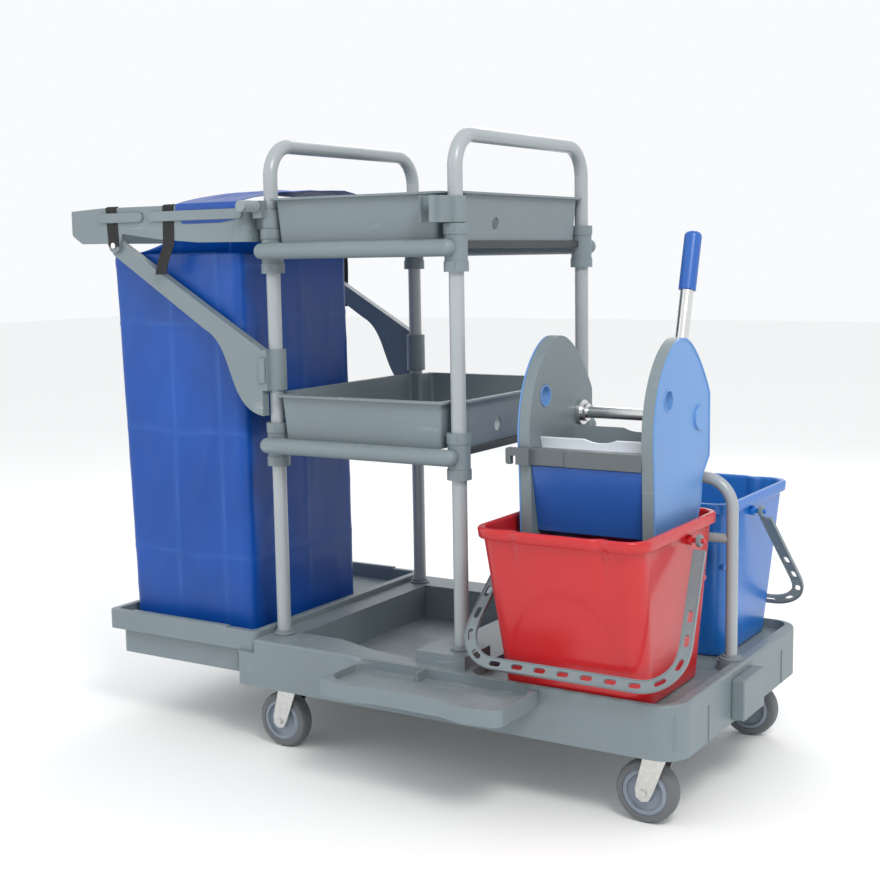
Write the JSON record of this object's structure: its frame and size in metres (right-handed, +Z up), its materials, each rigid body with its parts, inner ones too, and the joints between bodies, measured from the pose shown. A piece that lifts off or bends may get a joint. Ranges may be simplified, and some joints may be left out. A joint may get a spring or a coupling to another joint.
{
  "type": "housekeeping cart",
  "caption": "Housekeeping cart with a moulded deck on swivel castors, tube posts, two shelf trays, a framed refuse bag, mop buckets with bails and a lever mop wringer.",
  "frame": {"origin": "on the floor, under the middle of the whole cart's outline", "axes": "+X along the cart from the push handle of the bag frame towards the buckets, +Y from the front to the back, +Z up"},
  "size_m": [1.269, 0.7608, 1.0825],
  "materials": {
    "grey_plastic": "satin moulded polypropylene with a fine grain",
    "painted_tube": "satin powder coat on steel tube",
    "dark_plastic": "dark moulded plastic",
    "zinc": "bright zinc plate",
    "tyre_grey": "grey non-marking rubber",
    "hub_blue_grey": "moulded nylon",
    "red_gloss": "gloss moulded plastic",
    "blue_gloss": "gloss moulded plastic",
    "light_blue_plastic": "satin moulded plastic",
    "deep_blue_plastic": "semi-gloss moulded plastic",
    "pale_plastic": "pale satin moulded plastic",
    "bright_metal": "drawn aluminium and zinc plate",
    "bag_cloth": "coated woven nylon",
    "black_webbing": "woven nylon webbing"
  },
  "bodies": {
    "root": {"castor_plates": "zinc", "base_deck": "grey_plastic", "bag_tray": "grey_plastic", "mop_rest": "grey_plastic", "end_bumper": "grey_plastic", "left_handle_tube": "painted_tube", "right_handle_tube": "painted_tube", "foot_flanges": "grey_plastic", "lower_front_rail": "grey_plastic", "lower_back_rail": "grey_plastic", "upper_front_rail": "grey_plastic", "upper_back_rail": "grey_plastic", "lower_tray": "grey_plastic", "upper_tray": "grey_plastic", "side_rails": "dark_plastic", "mop_handle_clip": "grey_plastic", "bag_frame": "grey_plastic", "bag_bands": "grey_plastic", "ring_clamps": "grey_plastic", "front_strut": "grey_plastic", "back_strut": "grey_plastic", "strut_latches": "grey_plastic", "strut_screws": "zinc", "bag": "bag_cloth", "bag_cover": "bag_cloth", "bag_straps": "black_webbing", "divider_tube": "painted_tube", "divider_flanges": "grey_plastic"},
    "castor_front_left": {"castor_fork_front_left": "zinc"},
    "wheel_front_left": {"castor_tyre_front_left": "tyre_grey", "castor_wheel_front_left": "hub_blue_grey"},
    "castor_back_left": {"castor_fork_back_left": "zinc"},
    "wheel_back_left": {"castor_tyre_back_left": "tyre_grey", "castor_wheel_back_left": "hub_blue_grey"},
    "castor_front_right": {"castor_fork_front_right": "zinc"},
    "wheel_front_right": {"castor_tyre_front_right": "tyre_grey", "castor_wheel_front_right": "hub_blue_grey"},
    "castor_back_right": {"castor_fork_back_right": "zinc"},
    "wheel_back_right": {"castor_tyre_back_right": "tyre_grey", "castor_wheel_back_right": "hub_blue_grey"},
    "red_bucket": {"red_bucket": "red_gloss"},
    "blue_bucket": {"blue_bucket": "blue_gloss"},
    "red_bail": {"red_bail": "grey_plastic"},
    "blue_bail": {"blue_bail": "grey_plastic"},
    "wringer": {"wringer_left_plate": "grey_plastic", "wringer_right_plate": "grey_plastic", "wringer_left_cover": "light_blue_plastic", "wringer_right_cover": "light_blue_plastic", "wringer_front_bar": "dark_plastic", "wringer_front_panel": "deep_blue_plastic", "wringer_fixed_jaw": "pale_plastic"},
    "wringer_press": {"wringer_press_plate": "grey_plastic"},
    "wringer_lever": {"wringer_shaft": "bright_metal", "wringer_lever_rod": "bright_metal", "wringer_lever_grip": "deep_blue_plastic"},
    "front_knob": {"front_knob": "grey_plastic"},
    "back_knob": {"back_knob": "grey_plastic"}
  },
  "joints": [
    {"name": "swivel_front_left", "type": "hinge", "parent": "root", "child": "castor_front_left", "pos_m": [-0.1385, -0.20262, 0.133], "axis": [0, 0, 1], "continuous": true},
    {"name": "spin_front_left", "type": "hinge", "parent": "castor_front_left", "child": "wheel_front_left", "pos_m": [-0.1635, -0.20262, 0.05], "axis": [0, 1, 0], "continuous": true},
    {"name": "swivel_back_left", "type": "hinge", "parent": "root", "child": "castor_back_left", "pos_m": [-0.1385, 0.25938, 0.133], "axis": [0, 0, 1], "continuous": true},
    {"name": "spin_back_left", "type": "hinge", "parent": "castor_back_left", "child": "wheel_back_left", "pos_m": [-0.1635, 0.25938, 0.05], "axis": [0, 1, 0], "continuous": true},
    {"name": "swivel_front_right", "type": "hinge", "parent": "root", "child": "castor_front_right", "pos_m": [0.5685, -0.20262, 0.133], "axis": [0, 0, 1], "continuous": true},
    {"name": "spin_front_right", "type": "hinge", "parent": "castor_front_right", "child": "wheel_front_right", "pos_m": [0.5435, -0.20262, 0.05], "axis": [0, 1, 0], "continuous": true},
    {"name": "swivel_back_right", "type": "hinge", "parent": "root", "child": "castor_back_right", "pos_m": [0.5685, 0.25938, 0.133], "axis": [0, 0, 1], "continuous": true},
    {"name": "spin_back_right", "type": "hinge", "parent": "castor_back_right", "child": "wheel_back_right", "pos_m": [0.5435, 0.25938, 0.05], "axis": [0, 1, 0], "continuous": true},
    {"name": "red_bucket_lift", "type": "slide", "parent": "root", "child": "red_bucket", "axis": [0, 0, 1], "range_m": [0, 0.3]},
    {"name": "blue_bucket_lift", "type": "slide", "parent": "root", "child": "blue_bucket", "axis": [0, 0, 1], "range_m": [0, 0.3]},
    {"name": "wringer_lift", "type": "slide", "parent": "red_bucket", "child": "wringer", "axis": [0, 0, 1], "range_m": [0, 0.25]},
    {"name": "red_bail_swing", "type": "hinge", "parent": "red_bucket", "child": "red_bail", "pos_m": [0.4295, -0.10362, 0.4283], "axis": [-1, 0, 0], "range_deg": [0, 100]},
    {"name": "blue_bail_swing", "type": "hinge", "parent": "blue_bucket", "child": "blue_bail", "pos_m": [0.4295, 0.18338, 0.4283], "axis": [1, 0, 0], "range_deg": [0, 150]},
    {"name": "lever_pull", "type": "hinge", "parent": "wringer", "child": "wringer_lever", "pos_m": [0.4985, -0.00262, 0.609], "axis": [1, 0, 0], "range_deg": [0, 60]},
    {"name": "press_swing", "type": "hinge", "parent": "wringer", "child": "wringer_press", "pos_m": [0.4985, -0.06962, 0.425], "axis": [1, 0, 0], "range_deg": [0, 27]},
    {"name": "front_knob_turn", "type": "hinge", "parent": "root", "child": "front_knob", "pos_m": [-0.1835, -0.18762, 0.965], "axis": [0, -1, 0], "continuous": true},
    {"name": "back_knob_turn", "type": "hinge", "parent": "root", "child": "back_knob", "pos_m": [-0.1835, 0.26738, 0.965], "axis": [0, 1, 0], "continuous": true}
  ],
  "couplings": [
    {"joint": "press_swing", "follows": "lever_pull", "ratio": 0.45}
  ]
}
